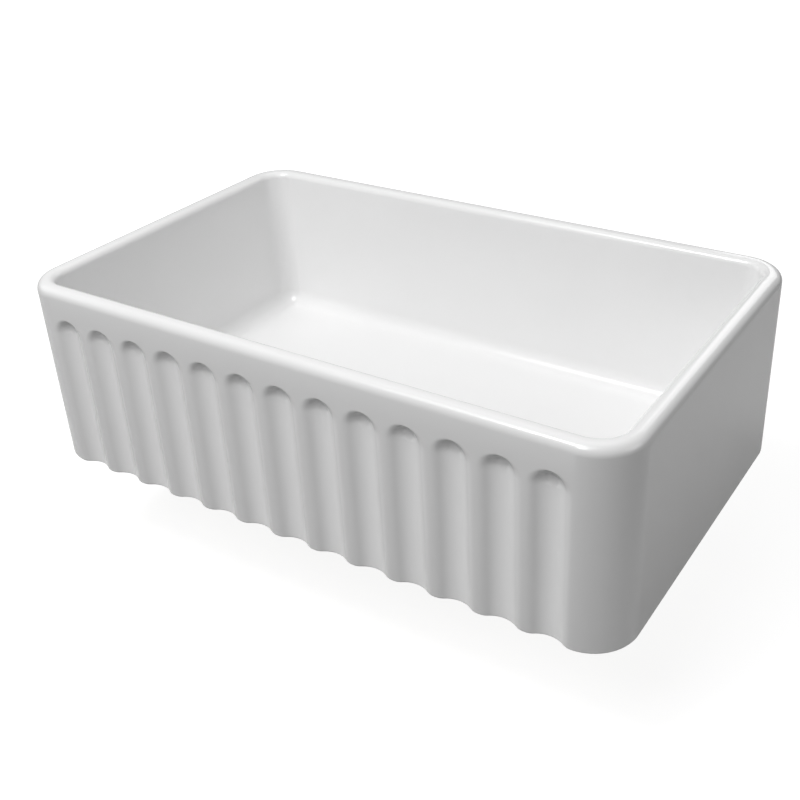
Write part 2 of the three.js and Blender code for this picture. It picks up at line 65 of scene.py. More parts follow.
PLAN_CORNER = 56 * MM  # round of the outside corners, seen from above
OUTER_LIP = 12 * MM  # rounds of the rim, outside and inside
INNER_LIP = 9 * MM
FOOT_ROUND = 3 * MM
RIM_WALL = 24 * MM
WALL_DRAFT = math.radians(1.7)
FLOOR_EDGE = 36 * MM  # level of the bowl's floor at its edge, and at the drain
FLOOR_AT_DRAIN = 28 * MM
FLOOR_FILLET = 22 * MM
DRAIN_BORE = 45 * MM  # radius of the drain hole, and of the seat round it
DRAIN_SEAT = 59.5 * MM
DRAIN_SEAT_DEPTH = 4 * MM
DRAIN_LIP = 1.5 * MM

FLUTES = 13
FLUTE_PITCH = 56.45 * MM
FLUTE_WIDTH = 54 * MM
FLUTE_DEPTH = 8 * MM
FLUTE_LIP = 18 * MM  # radius of the soft edge down each side of a flute
FLUTE_TOP = 219 * MM
ARCH_RADIUS = 24 * MM
ARCH_RUN = 11 * MM  # how far in from the arch the flute gets its full depth
ARCH_LIP = 2.5 * MM
PAINTED_LIGHT_RUN = 45 * MM  # a guess: how far down a flute the painted light in its glaze, a whiter tone that stands in for light, takes to reach full strength
BOWL_PAINTED_LIGHT = 0.4  # a guess: the share of that painted light on the rim and in the bowl

SHARP_ANGLE = math.radians(35)  # an edge that bends more than this is shaded as a crease


# ------------------------------------------------------------------ mesh helpers

def everything(bm):
    return bm.verts[:] + bm.edges[:] + bm.faces[:]


def loop_at(bm, level, reach):
    """The edges that lie flat at one level, with both ends at least as far out as reach says."""
    near = 0.02 * MM
    return [
        edge for edge in bm.edges
        if all(abs(v.co.z - level) < near and reach(v.co) for v in edge.verts)
    ]


def as_piece(bm, name, material, body, slot, *nodes):
    """Makes the bmesh a smooth-shaded object that rides on a body and stands for CAD nodes."""
    mesh = bpy.data.meshes.new(name)
    bmesh.ops.recalc_face_normals(bm, faces=bm.faces)
    if bm.calc_volume(signed=True) < 0:
        bmesh.ops.reverse_faces(bm, faces=bm.faces)
    for face in bm.faces:
        face.smooth = True
    for edge in bm.edges:
        edge.smooth = edge.calc_face_angle(0) < SHARP_ANGLE
    bm.to_mesh(mesh)
    bm.free()
    mesh.materials.append(material)
    piece = bpy.data.objects.new(name, mesh)
    bpy.context.scene.collection.objects.link(piece)
    normals = piece.modifiers.new("flat faces stay flat", "WEIGHTED_NORMAL")
    normals.keep_sharp = True
    normals.weight = 60
    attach(piece, body)
    if nodes:
        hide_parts(*nodes)
    return piece


# ------------------------------------------------------------------ the casting

def scoop_depth(out, run, depth, lip):
    """Depth of a round trough at a distance from its middle; it runs over a rounded lip at its edge."""
    reach = (run * run + depth * depth) / (2 * depth)
    trough = reach - lip
    if out <= 0:
        return depth
    if out >= run:
        return 0
    if out < trough * run / reach:
        return depth - trough + math.sqrt(trough * trough - out * out)
    return lip - math.sqrt(lip * lip - (run - out) ** 2)


def flute_depth(x, z):
    """How far the apron is hollowed at a place: soft sides, and a short steep end round the arch."""
    half = (FLUTES - 1) // 2
    nearest = max(-half, min(half, round(x / FLUTE_PITCH)))
    across = abs(x - nearest * FLUTE_PITCH)
    springing = FLUTE_TOP - ARCH_RADIUS
    if z <= springing:
        return scoop_depth(across, FLUTE_WIDTH / 2, FLUTE_DEPTH, FLUTE_LIP)
    out = math.hypot(across, z - springing)
    share = ((z - springing) / out) ** 2
    edge = FLUTE_WIDTH / 2 + (ARCH_RADIUS - FLUTE_WIDTH / 2) * share
    run = FLUTE_WIDTH / 2 + (ARCH_RUN - FLUTE_WIDTH / 2) * share
    lip = FLUTE_LIP + (ARCH_LIP - FLUTE_LIP) * share
    return scoop_depth(out - (edge - run), run, FLUTE_DEPTH, lip)


def sink_casting(glaze):
    low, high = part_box("sink_body")
    width, depth, height = high - low
    bm = bmesh.new()
    block = Matrix.Translation((0, 0, height / 2)) @ Matrix.Diagonal((width, depth, height, 1))
    bmesh.ops.create_cube(bm, size=1, matrix=block)
    uprights = [e for e in bm.edges if abs(e.verts[0].co.z - e.verts[1].co.z) > height / 2]
    bmesh.ops.bevel(bm, geom=uprights, offset=PLAN_CORNER, segments=28, profile=0.5,
                    affect="EDGES", material=-1)

    # The rim, the drafted walls and the floor come from two insets of the top face.
    draft_run = (height - FLOOR_EDGE) * math.tan(WALL_DRAFT)
    middle = max(bm.faces, key=lambda f: f.calc_center_median().z)
    for thickness in (RIM_WALL, draft_run):
        bmesh.ops.inset_region(bm, faces=[middle], thickness=thickness, use_even_offset=True,
                               use_boundary=True)
    bmesh.ops.translate(bm, vec=(0, 0, FLOOR_EDGE - height), verts=middle.verts[:])

    def inset(co):
        """How far a place lies in from the casting's outline, seen from above."""
        past_x = abs(co.x) - (width / 2 - PLAN_CORNER)
        past_y = abs(co.y) - (depth / 2 - PLAN_CORNER)
        corner = math.hypot(max(past_x, 0), max(past_y, 0))
        return PLAN_CORNER - corner - min(max(past_x, past_y), 0)

    def outside(co):
        return inset(co) < RIM_WALL / 2

    def inside(co):
        return not outside(co)

    rounds = [
        (loop_at(bm, 0, outside), FOOT_ROUND, 4),
        (loop_at(bm, height, outside), OUTER_LIP, 10),
        (loop_at(bm, height, inside), INNER_LIP, 8),
        (loop_at(bm, FLOOR_EDGE, inside), FLOOR_FILLET, 12),
    ]
    for edges, radius, segments in rounds:
        bmesh.ops.bevel(bm, geom=edges, offset=radius, segments=segments, profile=0.5,
                        affect="EDGES", material=-1)

    add_drain(bm, width / 2, depth / 2)
    cut_flutes(bm, width, depth, height - OUTER_LIP)

    # The rim and the bowl are painted whiter than the upright outside: a share of the flutes' painted light,
    # kept in the glaze layer.
    thickness = bm.verts.layers.float["glaze"]
    for vert in bm.verts:
        if vert.co.z > FLUTE_TOP or inside(vert.co):
            vert[thickness] = BOWL_PAINTED_LIGHT * min(1, inset(vert.co) / OUTER_LIP)

    add_underside(bm)
    return as_piece(bm, "fireclay_casting", glaze, "sink", "glaze", "sink_body")


def floor_level(x, y, half_width, half_depth):
    """The floor dishes from its flat edge down to the drain, with no crease at the diagonals."""
    out = math.hypot(x, y)
    squareness = 6
    bearing = abs(x / half_width) ** squareness + abs(y / half_depth) ** squareness
    edge = out * bearing ** (-1 / squareness)
    start = DRAIN_SEAT + DRAIN_LIP
    share = max(0, min(1, (out - start) / (edge - start)))
    return FLOOR_AT_DRAIN + (FLOOR_EDGE - FLOOR_AT_DRAIN) * (1 - (1 - share) ** 2)


def add_drain(bm, half_width, half_depth):
    """Dishes the floor down to the drain, and turns the flange seat and the bore."""
    floor = [
        f for f in bm.faces
        if abs(f.normal.z) > 0.999 and abs(f.calc_center_median().z - FLOOR_EDGE) < MM
    ]
    floor_edges = list({e for f in floor for e in f.edges})
    bmesh.ops.delete(bm, geom=floor, context="FACES_ONLY")
    side_parts, dish_rings = 32, 16
    long_edges = [e for e in floor_edges if e.calc_length() > 50 * MM]
    cut = bmesh.ops.subdivide_edges(bm, edges=long_edges, cuts=side_parts - 1)
    pieces = [g for g in cut["geom"] if isinstance(g, bmesh.types.BMEdge)]
    floor_loop = list(set(e for e in floor_edges if e.is_valid) | set(pieces))

    steps = len(floor_loop)
    lip_top = bm.verts.new((DRAIN_SEAT + DRAIN_LIP, 0, FLOOR_AT_DRAIN))
    profile = [lip_top]
    for turn in (30, 60, 90):
        angle = math.radians(turn)
        out = DRAIN_SEAT + DRAIN_LIP * (1 - math.sin(angle))
        down = FLOOR_AT_DRAIN - DRAIN_LIP * (1 - math.cos(angle))
        profile.append(bm.verts.new((out, 0, down)))
    seat_level = FLOOR_AT_DRAIN - DRAIN_SEAT_DEPTH
    for radius, level in ((DRAIN_SEAT, seat_level), (DRAIN_BORE, seat_level), (DRAIN_BORE, 0)):
        profile.append(bm.verts.new((radius, 0, level)))
    line = [bm.edges.new(pair) for pair in zip(profile, profile[1:])]
    bmesh.ops.spin(bm, geom=profile + line, cent=(0, 0, 0), axis=(0, 0, 1), angle=2 * math.pi,
                   steps=steps, use_merge=True)

    def at_lip(co):
        return abs(co.xy.length - DRAIN_SEAT - DRAIN_LIP) < 0.1 * MM

    lip_loop = loop_at(bm, FLOOR_AT_DRAIN, at_lip)
    made = bmesh.ops.bridge_loops(bm, edges=floor_loop + lip_loop)
    rulings = [
        e for e in made["edges"]
        if at_lip(e.verts[0].co) != at_lip(e.verts[1].co)
    ]
    made = bmesh.ops.subdivide_edges(bm, edges=rulings, cuts=dish_rings - 1)
    wall_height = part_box("sink_body")[1].z - FLOOR_EDGE
    floor_inset = RIM_WALL + wall_height * math.tan(WALL_DRAFT) + FLOOR_FILLET
    for vert in {g for g in made["geom"] if isinstance(g, bmesh.types.BMVert)}:
        vert.co.z = floor_level(vert.co.x, vert.co.y, half_width - floor_inset, half_depth - floor_inset)


def cut_flutes(bm, width, depth, lip_foot):
    """Divides the apron finely, sinks the flutes into it and sets how much whiter their glaze is painted:
    painted light in the middles of the flutes, with a small real part from thicker glaze. Divides the
    apron finely, sinks the flutes into it and sets the guessed thickness of their glaze.
    """
    columns, arch_rows = 640, 38
    arch_foot = FLUTE_TOP - ARCH_RADIUS - 4 * MM
    arch_head = FLUTE_TOP + 2 * MM
    for level in (arch_foot, arch_head):
        bmesh.ops.bisect_plane(bm, geom=everything(bm), plane_co=(0, 0, level), plane_no=(0, 0, 1))
    front = FOOT_ROUND - depth / 2 + 0.1 * MM
    across = [
        e for e in bm.edges
        if all(v.co.y < front and v.co.z < lip_foot + 0.1 * MM for v in e.verts)
        and abs(e.verts[0].co.x - e.verts[1].co.x) > width / 2
    ]
    bmesh.ops.subdivide_edges(bm, edges=across, cuts=columns - 1)
    upright = [
        e for e in bm.edges
        if all(v.co.y < MM - depth / 2 for v in e.verts)
        and abs(abs(e.verts[0].co.z - e.verts[1].co.z) - (arch_head - arch_foot)) < 0.1 * MM
    ]
    bmesh.ops.subdivide_edges(bm, edges=upright, cuts=arch_rows - 1, use_grid_fill=True)
    # The glaze layer holds painted light: a whiter glaze in the middles of the flutes, fading out up towards
    # the arches.
    glaze = bm.verts.layers.float.new("glaze")
    for vert in bm.verts:
        if vert.co.y < front and vert.co.z < FLUTE_TOP:
            depth = flute_depth(vert.co.x, vert.co.z)
            vert.co.y += depth
            vert[glaze] = depth / FLUTE_DEPTH * min(1, (FLUTE_TOP - vert.co.z) / PAINTED_LIGHT_RUN)


def add_underside(bm):
    """Closes the foot between its scalloped outline and the drain bore."""
    bottom = [
        f for f in bm.faces
        if abs(f.calc_center_median().z) < 0.05 * MM and abs(f.normal.z) > 0.99
    ]
    bmesh.ops.delete(bm, geom=bottom, context="FACES_ONLY")
    open_edges = [e for e in bm.edges if e.is_boundary]
    bmesh.ops.triangle_fill(bm, use_beauty=True, use_dissolve=False, edges=open_edges, normal=(0, 0, -1))


# ------------------------------------------------------------------ turned and pressed pieces

def span(node):
    """A round CAD node's outer radius, bottom and top, in millimetres."""
    low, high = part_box(node)
    return high.x / MM, low.z / MM, high.z / MM


def rounded(section, closed):
    """Draws the rounds into a section whose corners are (radius, level) or (radius, level, round)."""
    steps = 4
    points = []
    for i, (radius, level, *size) in enumerate(section):
        here = Vector((radius, level))
        size = size[0] if size else 0.2
        at_end = not closed and i in (0, len(section) - 1)
        if at_end or not size:
            points.append(here)
            continue
        before = Vector(section[i - 1][:2]) - here
        after = Vector(section[(i + 1) % len(section)][:2]) - here
        half = before.angle(after) / 2
        cut = min(size / math.tan(half), 0.49 * before.length, 0.49 * after.length)
        start = here + before.normalized() * cut
        end = here + after.normalized() * cut
        middle = here + (before.normalized() + after.normalized()).normalized() * cut / math.cos(half)
        radius = (start - middle).length
        for step in range(steps + 1):
            points.append(middle + (start - middle).slerp(end - middle, step / steps) * radius)
    return points


def turn(bm, section, steps=96):
    """Turns a section, in millimetres, about the vertical axis. One that starts on the axis ends there."""
    closed = section[0][0] > 0
    made = [bm.verts.new((x * MM, 0, z * MM)) for x, z in rounded(section, closed)]
    pairs = list(zip(made, made[1:]))
    if closed:
        pairs.append((made[-1], made[0]))
    line = [bm.edges.new(pair) for pair in pairs]
    bmesh.ops.spin(bm, geom=made + line, cent=(0, 0, 0), axis=(0, 0, 1), angle=2 * math.pi,
                   steps=steps, use_merge=True)
    if not closed:
        poles = [v for v in bm.verts if v.co.xy.length < 0.01 * MM]
        bmesh.ops.remove_doubles(bm, verts=poles, dist=0.01 * MM)


def turned_piece(name, material, body, slot, node, section, steps=96):
    bm = bmesh.new()
    turn(bm, section, steps)
    return as_piece(bm, name, material, body, slot, node)


def wind_thread(bm, root, crest, bottom, top, pitch):
    """Winds a thread's ridge round a turned body; its foot is sunk a little into the body."""
    flat = pitch * 0.12
    foot = pitch * 0.42
    sunk = root - 0.15
    corners = [(sunk, -foot), (crest, -flat), (crest, flat), (sunk, foot)]
    first = [bm.verts.new((x * MM, 0, (bottom + foot + z) * MM)) for x, z in corners]
    face = bm.faces.new(first)
    per_turn = 72
    steps = round((top - bottom - 2 * foot) / pitch * per_turn)
    bmesh.ops.spin(bm, geom=[face], cent=(0, 0, 0), axis=(0, 0, 1), steps=steps, use_merge=False,
                   angle=2 * math.pi * steps / per_turn, dvec=(0, 0, pitch * MM / per_turn))


def square_up(bm, turned_radius, across_flats, chamfer_radius):
    """Gives a turned nut its six flats; the chamfers at both ends run into them in curves."""
    side = [v for v in bm.verts if abs(v.co.xy.length - turned_radius * MM) < 0.02 * MM]
    middle = sum(v.co.z for v in side) / len(side)
    ends = [v.co.z for v in bm.verts]
    bottom, top = min(ends), max(ends)
    sector = math.radians(60)
    for vert in side:
        angle = math.atan2(vert.co.y, vert.co.x)
        off = (angle + sector / 2) % sector - sector / 2
        radius = across_flats / 2 * MM / math.cos(off)
        fall = (radius - chamfer_radius * MM) * math.tan(math.radians(30))
        vert.co.z = top - fall if vert.co.z > middle else bottom + fall
        vert.co.xy = vert.co.xy.normalized() * radius


def hex_nut(name, material, body, slot, node, bore, across_flats):
    """A nut turned, chamfered and milled to six flats; bore lists its inside corners from the top down."""
    low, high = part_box(node)
    bottom, top = low.z / MM, high.z / MM
    turned = across_flats / 2
    chamfer = turned * 0.955
    bm = bmesh.new()
    turn(bm, [
        (chamfer, bottom, 0), (turned, bottom + 0.3, 0), (turned, top - 0.3, 0), (chamfer, top, 0),
        *bore,
    ])
    square_up(bm, turned, across_flats, chamfer)
    return as_piece(bm, name, material, body, slot, node)


def strainer_cup(steel):
    """The pressed cup: crowned flange, ledge for the basket, threaded body and a flat floor."""
    out, bottom, top = span("strainer_cup")
    neck, neck_bore, thread, bore, outlet = 44.4, 43.2, 42.5, 41.3, 19
    sheet = 1.2
    crown = top - 0.6
    under_flange = crown - sheet
    ledge = crown - 5
    root = thread - 0.55
    bm = bmesh.new()
    wind_thread(bm, root, thread, bottom + 4.4, top=15.4, pitch=2.3)
    turn(bm, [
        (out, under_flange, 0.3), (out, under_flange + 0.6, 0.5), (out - sheet, crown, 1.2),
        ((out + neck) / 2, top, 14), (neck + sheet, crown, 2.5), (neck_bore, under_flange, 1.6),
        (neck_bore, ledge, 0.6), (bore, ledge, 0.5), (bore, bottom + sheet, 2.2),
        (outlet, bottom + sheet, 0.5), (outlet, bottom, 0.4), (thread, bottom, 3.4),
        (thread, bottom + 4, 0.3), (root, bottom + 4.6, 0.3), (root, 15, 0.3), (thread, 15.6, 0.3),
        (thread, ledge - sheet, 0.6), (neck, ledge - sheet, 0.6), (neck, under_flange, 0.6),
    ], steps=144)
    return as_piece(bm, "pressed_strainer_cup", steel, "sink", "stainless", "strainer_cup")


def rings_under_the_sink(rubber, foam, fibre, nylon):
    """Everything soft that the clamp squeezes: sealing ring, ribbed gasket, fibre ring and washer."""
    out, bottom, top = span("flange_gasket")
    turned_piece("white_sealing_ring", foam, "sink", "gasket_foam", "flange_gasket", [
        (44.7, bottom, 0.4), (out, bottom, 0.6), (out, top, 0.6), (44.7, top, 0.4),
    ], steps=144)
    out, bottom, top = span("sink_gasket")
    valley = top - 0.7
    ribs = []
    for i in range(3):
        rib = out - 1.4 - 3.3 * i
        ribs += [(rib, valley, 0.2), (rib - 0.4, top, 0.3), (rib - 1.3, top, 0.3), (rib - 1.7, valley, 0.2)]
    turned_piece("ribbed_rubber_gasket", rubber, "sink", "black_rubber", "sink_gasket", [
        (42.8, bottom, 0.4), (out, bottom, 1.0), (out, valley, 0.6), *ribs, (42.8, valley, 0.4),
    ], steps=144)
    out, bottom, top = span("friction_ring")
    turned_piece("fibre_friction_ring", fibre, "sink", "fibre_board", "friction_ring", [
        (42.8, bottom, 0.1), (out, bottom, 0.15), (out, top, 0.15), (42.8, top, 0.1),
    ], steps=144)
    out, bottom, top = span("tailpiece_washer")
    turned_piece("nylon_tailpiece_washer", nylon, "sink", "white_nylon", "tailpiece_washer", [
        (19, bottom, 0.2), (out, bottom, 0.5), (out, top, 0.5), (19, top, 0.2),
    ])


def locknut(zinc):
    """The cast clamp nut: a ring with six lugs drawn out of its side."""
    lug_out, bottom, top = span("locknut")
    ring_out = 51
    lug_turn, half_lug = 60, 9
    bm = bmesh.new()
    turn(bm, [
        (42.8, bottom + 1, 0.4), (43.8, bottom, 0.3), (ring_out - 1, bottom, 0.5),
        (ring_out, bottom + 1.2, 0.2), (ring_out, top - 1.2, 0.2), (ring_out - 1, top, 0.5),
        (43.8, top, 0.3), (42.8, top - 1, 0.4),
    ], steps=144)

    def in_lug(face):
        middle = face.calc_center_median()
        bearing = math.degrees(math.atan2(middle.y, middle.x))
        off = (bearing + lug_turn / 2) % lug_turn - lug_turn / 2
        tall = max(v.co.z for v in face.verts) - min(v.co.z for v in face.verts) > 6 * MM
        return tall and middle.xy.length > (ring_out - 1) * MM and abs(off) < half_lug

    lugs = [f for f in bm.faces if in_lug(f)]
    made = bmesh.ops.extrude_face_region(bm, geom=lugs)["geom"]
    bmesh.ops.delete(bm, geom=lugs, context="FACES")
    ends = [g for g in made if isinstance(g, bmesh.types.BMFace)]
    tips = list({v for f in ends for v in f.verts})
    for vert in tips:
        vert.co.xy *= lug_out / ring_out * 0.998
    rims = list({e for f in ends for e in f.edges if sum(g in ends for g in e.link_faces) == 1})
    bmesh.ops.bevel(bm, geom=rims, offset=1.1 * MM, segments=4, profile=0.5, affect="EDGES", material=-1)
    return as_piece(bm, "lugged_locknut", zinc, "sink", "cast_zinc", "locknut")


def outlet_nipple(plating):
    """The threaded outlet, and the cross in its bore that steadies the post."""
    out, bottom, top = span("outlet_nipple")
    bore, barrel, under_flange = 19, 23.9, top - 3
    root = barrel - 0.8
    bm = bmesh.new()
    wind_thread(bm, root, barrel, bottom + 0.6, top=under_flange - 2.4, pitch=2.2)
    turn(bm, [
        (bore, bottom, 0.4), (root - 0.6, bottom, 0.3), (root, bottom + 0.8, 0.3),
        (root, under_flange - 3, 0.5), (barrel, under_flange - 2, 0.3), (barrel, under_flange, 0.6),
        (out, under_flange, 0.6), (out, top, 0.6), (bore, top, 0.6),
    ], steps=120)
    cross_top, cross_bottom = -30.2, -35.2
    eye, boss = 3.3, 6.5
    arm_middle, arm_length, arm_width = 12.8, 14.4, 3.2
    turn(bm, [
        (eye, cross_bottom, 0.5), (boss, cross_bottom, 0.8), (boss, cross_top, 0.8), (eye, cross_top, 0.7),
    ])
    for quarter in range(4):
        arm = Matrix.Rotation(math.radians(90 * quarter), 4, "Z")
        arm @= Matrix.Translation((arm_middle * MM, 0, (cross_top + cross_bottom) / 2 * MM))
        arm @= Matrix.Diagonal((arm_length * MM, arm_width * MM, (cross_top - cross_bottom) * MM, 1))
        made = bmesh.ops.create_cube(bm, size=1, matrix=arm)["verts"]
        edges = list({e for v in made for e in v.link_edges})
        bmesh.ops.bevel(bm, geom=edges, offset=0.8 * MM, segments=3, profile=0.5, affect="EDGES", material=-1)
    return as_piece(bm, "threaded_outlet_nipple", plating, "sink", "plated_brass", "outlet_nipple")


def tailpiece(plating):
    """A thin drawn tube with its top edge turned out to a flange."""
    out, bottom, top = span("tailpiece")
    tube, bore = 19.05, 17.95
    turned_piece("flanged_tailpiece", plating, "sink", "plated_brass", "tailpiece", [
        (bore, bottom, 0.3), (tube, bottom, 0.3), (tube, top - 1.5, 1.2), (out, top - 1.5, 0.4),
        (out, top, 0.5), (bore, top, 1.8),
    ], steps=120)


def coupling_nut(plating):
    low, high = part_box("coupling_nut")
    bottom, top = low.z / MM, high.z / MM
    lip = bottom + 3
    hex_nut("hexagonal_coupling_nut", plating, "sink", "plated_brass", "coupling_nut", [
        (25.2, top, 0.3), (24.2, top - 1, 0.3), (24.2, lip, 0.5), (20.0, lip, 0.3),
        (19.35, lip - 0.6, 0.2), (19.35, bottom + 0.6, 0.2), (20.0, bottom, 0.3),
    ], across_flats=57)


# ------------------------------------------------------------------ basket

def basket(steel):
    """The pierced basket: one turned sheet with 24 slots round its wall and 12 holes in its floor."""
    out, underside, flange_top = span("basket_cup")
    sheet = 1.0
    columns = 144
    floor = underside + sheet / 2
    flange = flange_top - sheet / 2
    wall_top, wall_foot, bend = 39.0, 31.0, 5
    slot_bottom, slot_top, hole_circle, hole = 1.95, 15.95, 19, 1.9
    bm = bmesh.new()

    # The sheet's middle line, from the guide out over the floor, up the wall and out to the flange.
    line = [(x, floor) for x in (7.9, 8.6, 11.5, 14.5, 16.1, 17.1, 18.05, 19, 19.95, 20.9, 21.9, 23.9)]
    for step in range(6):
        angle = math.radians(-90 + 90 * step / 5 * 0.93)
        line.append((wall_foot - bend + bend * math.cos(angle), floor + bend + bend * math.sin(angle)))
    foot_x, foot_z = line[-1]
    for step in range(1, 15):
        level = slot_bottom + (slot_top - slot_bottom) * (step - 1) / 8
        if level > flange - 2:
            break
        line.append((foot_x + (wall_top - foot_x) * (level - foot_z) / (flange - foot_z), level))
    line += [
        (wall_top, flange - 0.5), (wall_top + 0.6, flange - 0.05), (out - 1.2, flange), (out, flange),
    ]
    verts = [bm.verts.new((x * MM, 0, z * MM)) for x, z in line]
    edges = [bm.edges.new(pair) for pair in zip(verts, verts[1:])]
    bmesh.ops.spin(bm, geom=verts + edges, cent=(0, 0, 0), axis=(0, 0, 1), angle=2 * math.pi,
                   steps=columns, use_merge=True)

    column = 2 * math.pi / columns
    turn_per_slot = 2 * math.pi / 24
    turn_per_hole = 2 * math.pi / 12
    half_slot, half_hole = 1.01 * column, 2.02 * column

    def off(co, pitch):
        angle = math.atan2(co.y, co.x)
        return (angle + pitch / 2) % pitch - pitch / 2

    def in_slot(co):
        level = co.z / MM
        return slot_bottom - 0.01 < level < slot_top + 0.01 and abs(off(co, turn_per_slot)) < half_slot

    def in_hole(co):
        return (abs(co.z - floor * MM) < 0.01 * MM and abs(co.xy.length / MM - hole_circle) < hole + 0.05
                and abs(off(co, turn_per_hole)) < half_hole)

    pierced = [
        f for f in bm.faces
        if all(in_slot(v.co) for v in f.verts) or all(in_hole(v.co) for v in f.verts)
    ]
    bmesh.ops.delete(bm, geom=pierced, context="FACES")
    for vert in [v for v in bm.verts if v.is_boundary]:
        if in_hole(vert.co):
            bearing = round(math.atan2(vert.co.y, vert.co.x) / turn_per_hole) * turn_per_hole
            middle = Vector((math.cos(bearing), math.sin(bearing), 0)) * hole_circle * MM
            middle.z = vert.co.z
            vert.co = middle + (vert.co - middle).normalized() * hole * 1.06 * MM
        elif in_slot(vert.co) and abs(off(vert.co, turn_per_slot)) < 0.1 * half_slot:
            vert.co.z += math.copysign(1.3 * MM, vert.co.z / MM - (slot_bottom + slot_top) / 2)
    bmesh.ops.recalc_face_normals(bm, faces=bm.faces)
    bmesh.ops.solidify(bm, geom=bm.faces[:], thickness=sheet * MM)
    low = min(v.co.z for v in bm.verts)
    bmesh.ops.translate(bm, vec=(0, 0, underside * MM - low), verts=bm.verts[:])
    piece = as_piece(bm, "pierced_basket", steel, "basket", "stainless", "basket_cup")
    smooth = piece.modifiers.new("rolled edges", "SUBSURF")
    smooth.levels = smooth.render_levels = 1
    piece.modifiers.move(1, 0)
    return piece


def basket_guide(plating, rubber, nylon):
    """The flanged guide in the middle of the basket, with its nut, its washer and the grip ring."""
    out, bottom, top = span("hub_sleeve")
    bore, sleeve, flange = 3.3, 7, -4.2
    turned_piece("guide_sleeve", plating, "basket", "plated_brass", "hub_sleeve", [
        (bore, bottom, 0.3), (sleeve, bottom, 0.4), (sleeve, flange, 0.1), (out, flange, 0.3),
        (out, flange + 2, 0.6), (sleeve, flange + 2, 0.8), (sleeve, top, 0.8), (bore, top, 0.5),
        (bore, top - 3, 0.1), (5.4, top - 3, 0.1), (5.4, top - 5.4, 0.1), (bore, top - 5.4, 0.1),
    ])
    out, bottom, top = span("hub_washer")
    turned_piece("nylon_hub_washer", nylon, "basket", "white_nylon", "hub_washer", [
        (7.3, bottom, 0.15), (out, bottom, 0.2), (out, top, 0.2), (7.3, top, 0.15),
    ])
    low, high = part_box("hub_nut")
    bottom, top = low.z / MM, high.z / MM
    hex_nut("hexagonal_hub_nut", plating, "basket", "plated_brass", "hub_nut", [
        (7.9, top, 0.2), (7.3, top - 0.6, 0.2), (7.3, bottom + 0.6, 0.2), (7.9, bottom, 0.2),
    ], across_flats=19)
    out, bottom, top = span("grip_ring")
    half = (top - bottom) / 2
    centre = (out - half, (top + bottom) / 2)
    section = []
    for step in range(16):
        angle = 2 * math.pi * step / 16
        section.append((centre[0] + half * math.cos(angle), centre[1] + half * math.sin(angle), 0))
    turned_piece("rubber_grip_ring", rubber, "basket", "black_rubber", "grip_ring", section, steps=48)


# ------------------------------------------------------------------ stopper

def stopper(steel, plating, rubber):
    """The post with its knob, and the seal held between a dished retainer and a nut."""
    out, bottom, top = span("stopper_post")
    notch = []
    for level in (-4.4, 3.6):
        notch += [(out, level - 0.8, 0.3), (out - 0.35, level, 0.5), (out, level + 0.8, 0.3)]
    turned_piece("stopper_post_rod", steel, "stopper", "stainless", "stopper_post", [
        (0, bottom), (out - 0.6, bottom, 0.8), (out, bottom + 1.2, 1.2), *notch, (out, top, 0.3), (0, top),
    ], steps=48)
    out, bottom, top = span("lift_knob")
    bore, neck, button = 3.3, 6.5, top - 5.5
    turned_piece("turned_lift_knob", plating, "stopper", "plated_brass", "lift_knob", [
        (0, top - 4), (bore, top - 4, 0.1), (bore, bottom, 0.3), (neck + 0.9, bottom, 0.5),
        (neck, bottom + 2, 1.2), (neck, button - 2, 3.5), (out - 0.9, button - 0.1, 1.2),
        (out, button + 1.5, 1.4), (out - 1.1, top - 1.5, 1.2), (out - 3.5, top - 0.4, 3),
        (out - 4.6, top - 0.75, 0.6), (5.2, top - 0.75, 1.5), (2.5, top - 0.1, 3), (0, top),
    ])
    out, bottom, top = span("stopper_retainer")
    turned_piece("dished_retainer", steel, "stopper", "stainless", "stopper_retainer", [
        (3.3, bottom, 0.2), (out, bottom, 0.3), (out, bottom + 0.75, 0.3), (out - 1, bottom + 1.5, 0.8),
        (out / 2, bottom + 1.5, 4), (6, top, 1.2), (3.3, top, 0.4),
    ])
    out, bottom, top = span("stopper_seal")
    turned_piece("rubber_stopper_seal", rubber, "stopper", "black_rubber", "stopper_seal", [
        (3.3, bottom, 0.2), (out - 1, bottom, 0.6), (out, (bottom + top) / 2, 0.8), (out - 1, top, 0.6),
        (3.3, top, 0.2),
    ])
    low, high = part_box("seal_nut")
    bottom, top = low.z / MM, high.z / MM
    hex_nut("hexagonal_seal_nut", plating, "stopper", "plated_brass", "seal_nut", [
        (3.8, top, 0.1), (3.3, top - 0.5, 0.2), (3.3, bottom + 0.5, 0.2), (3.8, bottom, 0.2),
    ], across_flats=12)


# ------------------------------------------------------------------ materials

def linear(hex_colour):
    """An sRGB hex colour as the linear numbers that a shader takes."""
    channels = [int(hex_colour[i:i + 2], 16) / 255 for i in (1, 3, 5)]
    return (*[c / 12.92 if c <= 0.04045 else ((c + 0.055) / 1.055) ** 2.4 for c in channels], 1)


def grains_of(size_mm):
    """The scale that makes a pattern's grains about this many millimetres wide."""
    return 1 / (size_mm * MM)


def add_node(tree, kind, inputs=None, **settings):
    """Adds a node, sets it up, and links or sets its inputs."""
    node = tree.nodes.new(kind)
    for name, value in settings.items():
        setattr(node, name, value)
    for socket, value in (inputs or {}).items():
        if isinstance(value, bpy.types.NodeSocket):
            tree.links.new(value, node.inputs[socket])
        else:
            node.inputs[socket].default_value = value
    return node


def new_material(name):
    material = bpy.data.materials.new(name)
    material.use_nodes = True
    tree = material.node_tree
    tree.nodes.clear()
    return material, tree


